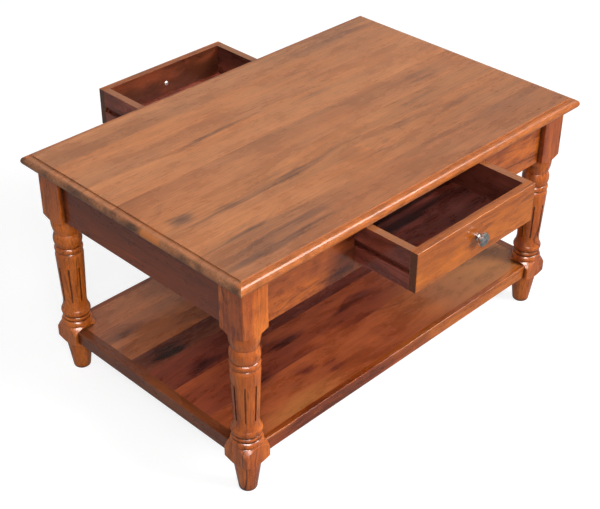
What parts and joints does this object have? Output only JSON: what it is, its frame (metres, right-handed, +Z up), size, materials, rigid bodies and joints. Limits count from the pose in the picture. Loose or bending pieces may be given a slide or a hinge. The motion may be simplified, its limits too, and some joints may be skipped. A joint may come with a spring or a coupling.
{
  "type": "coffee table with drawers",
  "caption": "Solid wood coffee table with turned, fluted legs, a lower shelf of boards, a moulded top and a drawer with a metal knob opening to each long side.",
  "frame": {"origin": "on the floor, under the centre of the table top and midway between the four feet", "axes": "+X along the length of the top to the right, +Y from the front long side to the rear one, +Z up"},
  "size_m": [0.9, 0.877, 0.478],
  "materials": {
    "top_wood": "semi-gloss lacquer over chestnut brown stain, figured boards",
    "leg_wood": "semi-gloss lacquer over orange brown stain",
    "apron_wood": "semi-gloss lacquer over orange brown stain",
    "case_wood": "bare planed wood",
    "shelf_edge_wood": "semi-gloss lacquer over orange brown stain",
    "shelf_board_wood": "semi-gloss lacquer, boards of mixed colour",
    "drawer_front_wood": "semi-gloss lacquer over orange brown stain",
    "drawer_box_wood": "thin lacquer over red brown stain",
    "knob_metal": "dark pewter, rubbed bright on the high parts",
    "screw_steel": "zinc plated"
  },
  "bodies": {
    "table": {"table_top": "top_wood", "front_left_leg": "leg_wood", "front_right_leg": "leg_wood", "rear_left_leg": "leg_wood", "rear_right_leg": "leg_wood", "left_end_apron": "apron_wood", "right_end_apron": "apron_wood", "front_left_apron": "apron_wood", "front_right_apron": "apron_wood", "rear_left_apron": "apron_wood", "rear_right_apron": "apron_wood", "front_drawer_rail": "apron_wood", "rear_drawer_rail": "apron_wood", "left_drawer_cheek": "case_wood", "right_drawer_cheek": "case_wood", "drawer_stop": "case_wood", "front_left_runner": "case_wood", "front_right_runner": "case_wood", "rear_left_runner": "case_wood", "rear_right_runner": "case_wood", "front_left_top_block": "case_wood", "front_right_top_block": "case_wood", "rear_left_top_block": "case_wood", "rear_right_top_block": "case_wood", "left_top_block": "case_wood", "right_top_block": "case_wood", "runner_screws": "screw_steel", "top_screws": "screw_steel", "front_shelf_lipping": "shelf_edge_wood", "rear_shelf_lipping": "shelf_edge_wood", "left_shelf_cleat": "shelf_edge_wood", "right_shelf_cleat": "shelf_edge_wood", "shelf_board_1": "shelf_board_wood", "shelf_board_2": "shelf_board_wood", "shelf_board_3": "shelf_board_wood", "shelf_board_4": "shelf_board_wood", "shelf_board_5": "shelf_board_wood", "shelf_board_6": "shelf_board_wood", "shelf_board_7": "shelf_board_wood", "shelf_board_8": "shelf_board_wood"},
    "front_drawer": {"front_drawer_front": "drawer_front_wood", "front_drawer_left_side": "drawer_box_wood", "front_drawer_right_side": "drawer_box_wood", "front_drawer_back": "drawer_box_wood", "front_drawer_bottom": "drawer_box_wood", "front_drawer_knob": "knob_metal", "front_drawer_knob_screw": "screw_steel"},
    "rear_drawer": {"rear_drawer_front": "drawer_front_wood", "rear_drawer_left_side": "drawer_box_wood", "rear_drawer_right_side": "drawer_box_wood", "rear_drawer_back": "drawer_box_wood", "rear_drawer_bottom": "drawer_box_wood", "rear_drawer_knob": "knob_metal", "rear_drawer_knob_screw": "screw_steel"}
  },
  "joints": [
    {"name": "front_drawer_slide", "type": "slide", "parent": "table", "child": "front_drawer", "axis": [0, -1, 0], "range_m": [-0.137, 0.058]},
    {"name": "rear_drawer_slide", "type": "slide", "parent": "table", "child": "rear_drawer", "axis": [0, 1, 0], "range_m": [-0.179, 0.016]}
  ]
}
